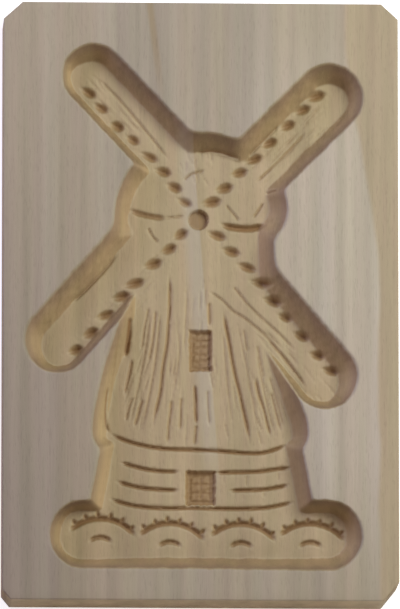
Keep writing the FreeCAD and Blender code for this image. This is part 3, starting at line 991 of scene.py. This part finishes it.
def grain_group():
    """The figure of beech, in millimetres: fibres along Y, bands across X, and ray flecks."""
    tree, given = new_group(
        "Beech grain",
        [("Place", "NodeSocketVector", None), ("Fleck amount", "NodeSocketFloat", 0.7),
         ("Band amount", "NodeSocketFloat", 0.6)],
        [("Shade", "NodeSocketFloat"), ("Warmth", "NodeSocketFloat"), ("Tint", "NodeSocketColor"),
         ("Height", "NodeSocketFloat")],
    )
    place = given["Place"]
    fibres = noise(tree, place, (0.45, 14.0, 0.8), detail=3.0, roughness=0.6)
    bands = noise(tree, place, (5.0, 260.0, 9.0), roughness=0.55)
    warmth = noise(tree, place, (13.0, 420.0, 22.0), detail=1.0)
    rays = noise(tree, place, (0.38, 2.6, 0.38), detail=1.0)
    hue = noise(tree, place, (3.6, 60.0, 6.0), roughness=0.6)
    flecks = product(tree, ramp(tree, rays, 0.56, 0.7), given["Fleck amount"])
    banding = product(tree, math_node(tree, "SUBTRACT", bands, 0.5), given["Band amount"])
    shade = math_node(tree, "MULTIPLY_ADD", fibres, 0.22, 0.89)
    shade = math_node(tree, "ADD", shade, banding)
    shade = math_node(tree, "SUBTRACT", shade, product(tree, flecks, 0.10))
    warmth = ramp(tree, warmth, 0.4, 0.6)
    greener, redder = (0.985, 1.006, 0.975, 1), (1.012, 0.993, 1.005, 1)
    tint = mix_colour(tree, ramp(tree, hue, 0.36, 0.64), greener, redder)
    height = math_node(tree, "SUBTRACT", fibres, flecks)
    join(tree, "NodeGroupOutput", Shade=shade, Warmth=warmth, Tint=tint, Height=height)
    return tree


def end_grain_group():
    """How far a surface is cut across the fibres, which run along Y."""
    tree, given = new_group(
        "End grain", [("Facing", "NodeSocketVector", None), ("Place", "NodeSocketVector", None)],
        [("Amount", "NodeSocketFloat")],
    )
    along = join(tree, "ShaderNodeSeparateXYZ", Vector=given["Facing"])["Y"]
    torn = noise(tree, given["Place"], (0.9, 3.0, 2.5))
    torn = math_node(tree, "MULTIPLY_ADD", torn, 0.5, -0.25)
    across = math_node(tree, "ADD", math_node(tree, "ABSOLUTE", along), torn)
    join(tree, "NodeGroupOutput", Amount=ramp(tree, across, 0.1, 0.85))
    return tree


def off_line(tree, x, y, line):
    """How far a point is from a line along the grain."""
    across = math_node(tree, "SUBTRACT", x, math_node(tree, "MULTIPLY_ADD", y, *line))
    return math_node(tree, "ABSOLUTE", across)


def plank_colour(tree, colours, place, x, y, warmth):
    """The colour of the plank's face, with its heartwood and its brown streak, painted shade
    towards the lower left and a painted pool of light to the right of the mill.
    """
    # Greyer wood, partly painted shade, towards the lower left of the face
    greyer_and_shaded = ramp(tree, x, *GREY_AND_SHADE_ACROSS), ramp(tree, y, *GREY_AND_SHADE_ALONG)
    colour = lay(tree, linear(colours.face), colours.left, *greyer_and_shaded)
    # A painted pool of light to the right of the mill
    from_middle = math_node(tree, "ABSOLUTE", y)
    painted_light = ramp(tree, x, *LIGHT_POOL_ACROSS), ramp(tree, from_middle, *LIGHT_POOL_ALONG)
    colour = lay(tree, colour, colours.pale, *painted_light)
    colour = lay(tree, colour, colours.heart, warmth, WARM_SHARE)
    sway = math_node(tree, "MULTIPLY_ADD", noise(tree, place, SWAY_CELLS, detail=1.0), *SWAY)
    edge = math_node(tree, "MULTIPLY_ADD", ramp(tree, y, *HEART_ALONG), *HEART_EDGE)
    past_edge = math_node(tree, "SUBTRACT", math_node(tree, "ADD", x, sway), edge)
    colour = lay(tree, colour, colours.heart, ramp(tree, past_edge, *HEART_ACROSS))
    off_streak = off_line(tree, x, y, STREAK_LINE)
    in_streak = ramp(tree, off_streak, *STREAK_ACROSS), ramp(tree, y, *STREAK_ALONG)
    return lay(tree, colour, colours.streak, *in_streak, STREAK_SHARE)


def beech_material(colours):
    """Solid beech, planed on the face and cut in the hollow, with shade and light painted in."""
    material = bpy.data.materials.new("carved_beech")
    material.use_nodes = True
    tree = material.node_tree
    tree.nodes.clear()
    given = join(tree, "ShaderNodeTexCoord")
    normal = given["Normal"]
    place = join(
        tree, "ShaderNodeMapping", {"vector_type": "POINT"},
        Vector=given["Object"], Scale=(1 / MM,) * 3,
    )[0]
    x, y, z = join(tree, "ShaderNodeSeparateXYZ", Vector=place)
    up = join(tree, "ShaderNodeSeparateXYZ", Vector=normal)["Z"]
    grain = join(tree, "ShaderNodeGroup", {"node_tree": grain_group()}, Place=place)
    across = join(
        tree, "ShaderNodeGroup", {"node_tree": end_grain_group()}, Place=place, Facing=normal,
    )[0]
    gouged, rough = (
        join(tree, "ShaderNodeAttribute", {"attribute_name": mark})["Fac"]
        for mark in MARKS
    )
    from_middle = math_node(tree, "ABSOLUTE", y)
    below_face = ramp(tree, z, *BELOW_FACE)
    within = ramp(tree, from_middle, *WITHIN_ENDS)

    colour = plank_colour(tree, colours, place, x, y, grain["Warmth"])
    colour = lay(tree, colour, colours.cut, below_face)
    colour = lay(tree, colour, colours.end_grain, across, within)
    near_stripe = ramp(tree, off_line(tree, x, y, STRIPE_LINE), *STRIPE_ACROSS)
    shade = math_node(tree, "ADD", grain["Shade"], product(tree, near_stripe, STRIPE_SHARE))
    shade = join(tree, "ShaderNodeCombineColor", Red=shade, Green=shade, Blue=shade)[0]
    colour = mix_colour(tree, 1.0, colour, shade, "MULTIPLY")

    # Painted shade on the hollow's walls: a darker, violet tint near the top and a browner one at
    # the foot
    on_wall = product(tree, ramp(tree, up, *FLAT_TO_STEEP), below_face, within)
    painted_wall_shade = mix_colour(tree, ramp(tree, z, *WALL_SHADE_DOWN), linear(colours.rim), linear(colours.foot))
    with_painted_wall_shade = mix_colour(tree, 1.0, colour, painted_wall_shade, "MULTIPLY")
    colour = mix_colour(tree, on_wall, colour, with_painted_wall_shade)
    band = math_node(tree, "ADD", x, math_node(tree, "MULTIPLY_ADD", y, *BAND_LINE))
    in_band = (
        ramp(tree, band, *BAND_LEFT), ramp(tree, band, *BAND_RIGHT),
        ramp(tree, from_middle, *BAND_ALONG),
    )
    colour = lay(tree, colour, colours.pale, *in_band, BAND_SHARE)
    colour = mix_colour(tree, 1.0, colour, grain["Tint"], "MULTIPLY")
    colour = lay(tree, colour, colours.torn, rough, TORN_SHARE)
    # Painted shade in the fine cuts, stronger where they are deeper
    colour = lay(tree, colour, colours.gouged, ramp(tree, gouged, *CUT_SHADE_RAMP), CUT_SHADE_SHARE)

    bump = join(
        tree, "ShaderNodeBump", Strength=0.35, Distance=0.05 * MM, Height=grain["Height"],
    )[0]
    gloss = math_node(tree, "MULTIPLY_ADD", grain["Shade"], -0.25, 0.85)
    shader = join(
        tree, "ShaderNodeBsdfPrincipled", Roughness=gloss, Normal=bump, IOR=1.35,
        **{"Base Color": colour},
    )[0]
    join(tree, "ShaderNodeOutputMaterial", Surface=shader)
    return material


def pale_material():
    """The plain pale floor, which the camera sees a little lighter."""
    material = bpy.data.materials.new("pale_floor")
    material.use_nodes = True
    tree = material.node_tree
    shader = tree.nodes["Principled BSDF"]
    shader.inputs["Base Color"].default_value = (0.86, 0.86, 0.86, 1)
    shader.inputs["Roughness"].default_value = 0.9
    shader.inputs["Emission Color"].default_value = WHITE
    seen = join(tree, "ShaderNodeLightPath")["Is Camera Ray"]
    tree.links.new(product(tree, seen, FLOOR_GLOW), shader.inputs["Emission Strength"])
    return material


def aim(thing, target):
    """Turn a lamp or a camera at a point, with the board upright in its view."""
    back = (thing.location - target).normalized()
    right = Vector((0, 1, 0)).cross(back).normalized()
    up = back.cross(right)
    turn = Matrix((right, up, back)).transposed().to_4x4()
    thing.matrix_world = Matrix.Translation(thing.location) @ turn


def add_lamp(name, place, size, colour, power):
    """A square soft lamp, turned at the middle of the face."""
    lamp = bpy.data.lights.new(name, "AREA")
    lamp.size = size
    lamp.energy = power
    lamp.color = colour
    holder = bpy.data.objects.new(name, lamp)
    bpy.context.scene.collection.objects.link(holder)
    holder.location = place
    aim(holder, Vector((0, 0, HIGH.z)))


def soft_sky(strength):
    """A tinted sky that the camera sees as plain white."""
    sky = bpy.data.worlds.new("sky")
    sky.use_nodes = True
    tree = sky.node_tree
    tree.nodes.clear()
    path = join(tree, "ShaderNodeLightPath")
    seen = math_node(tree, "MAXIMUM", path["Is Camera Ray"], path["Is Transmission Ray"])
    soft, white = (
        join(tree, "ShaderNodeBackground", Color=colour, Strength=power)[0]
        for colour, power in ((SKY_COLOUR, strength), (WHITE, 1.0))
    )
    both = join(tree, "ShaderNodeMixShader", Fac=seen, _1=soft, _2=white)[0]
    join(tree, "ShaderNodeOutputWorld", Surface=both)
    return sky


def picture_camera(distance):
    """A camera that frames the face as the picture does."""
    camera = bpy.data.objects.new("camera", bpy.data.cameras.new("camera"))
    bpy.context.scene.collection.objects.link(camera)
    camera.location = PICTURE_MIDDLE + PICTURE_WAY * distance
    camera.data.lens = camera.data.sensor_width * distance / (max(PICTURE) * PIXEL)
    camera.data.clip_end = 2 * distance
    aim(camera, PICTURE_MIDDLE)
    return camera


class BOARD_OT_carved_board(bpy.types.Operator):
    """Make the carved board"""

    bl_idname = "biscuit_board.carved_board"
    bl_label = "Carved board"

    def execute(self, context):
        sizes = context.scene.board_sizes
        carving = Carving(sizes)
        mesh = carved_face(sizes, carving)
        close_board(mesh, sizes)
        piece = finish_mesh(mesh, "carved_board", beech_material(context.scene.beech_colours))
        piece.data.shade_smooth()
        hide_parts("board")
        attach(piece, "root")
        return {"FINISHED"}


class BOARD_OT_stage(bpy.types.Operator):
    """Make the floor, the lamps, the sky and the camera"""

    bl_idname = "biscuit_board.stage"
    bl_label = "Stage"

    def execute(self, context):
        scene = context.scene
        settings = scene.stage_settings
        mesh = bmesh.new()
        bmesh.ops.create_grid(mesh, x_segments=1, y_segments=1, size=6.0)
        bmesh.ops.translate(mesh, verts=mesh.verts, vec=(0, 0, -FLOOR_DROP))
        floor = finish_mesh(mesh, "floor", pale_material())
        for name, lamp in LAMPS.items():
            add_lamp(name + "_lamp", *lamp, getattr(settings, name))
        scene.world = soft_sky(settings.sky)
        scene.camera = picture_camera(settings.distance)
        scene.view_settings.view_transform = "Standard"
        return {"FINISHED"}


class BOARD_PT_panel(bpy.types.Panel):
    """The board's sizes, colours and makers"""

    bl_idname = "BOARD_PT_panel"
    bl_label = "Biscuit Board"
    bl_space_type = "VIEW_3D"
    bl_region_type = "UI"
    bl_category = "Biscuit Board"

    def draw(self, context):
        for group in GROUPS:
            box = self.layout.box()
            settings = getattr(context.scene, group)
            for name in settings.bl_rna.properties.keys():
                if name not in ("rna_type", "name"):
                    box.prop(settings, name)
        for maker in MAKERS:
            self.layout.operator(maker.bl_idname)


MAKERS = (BOARD_OT_carved_board, BOARD_OT_stage)
GROUPS = {
    "board_sizes": BoardSizes,
    "beech_colours": BeechColours,
    "stage_settings": StageSettings,
}


def register():
    for name, group in GROUPS.items():
        bpy.utils.register_class(group)
        setattr(bpy.types.Scene, name, bpy.props.PointerProperty(type=group))
    for kind in (*MAKERS, BOARD_PT_panel):
        bpy.utils.register_class(kind)


def unregister():
    for kind in (BOARD_PT_panel, *reversed(MAKERS)):
        bpy.utils.unregister_class(kind)
    for name, group in reversed(GROUPS.items()):
        delattr(bpy.types.Scene, name)
        bpy.utils.unregister_class(group)


def main():
    register()
    for maker in MAKERS:
        group, name = maker.bl_idname.split(".")
        getattr(getattr(bpy.ops, group), name)()


if __name__ == "__main__":
    main()
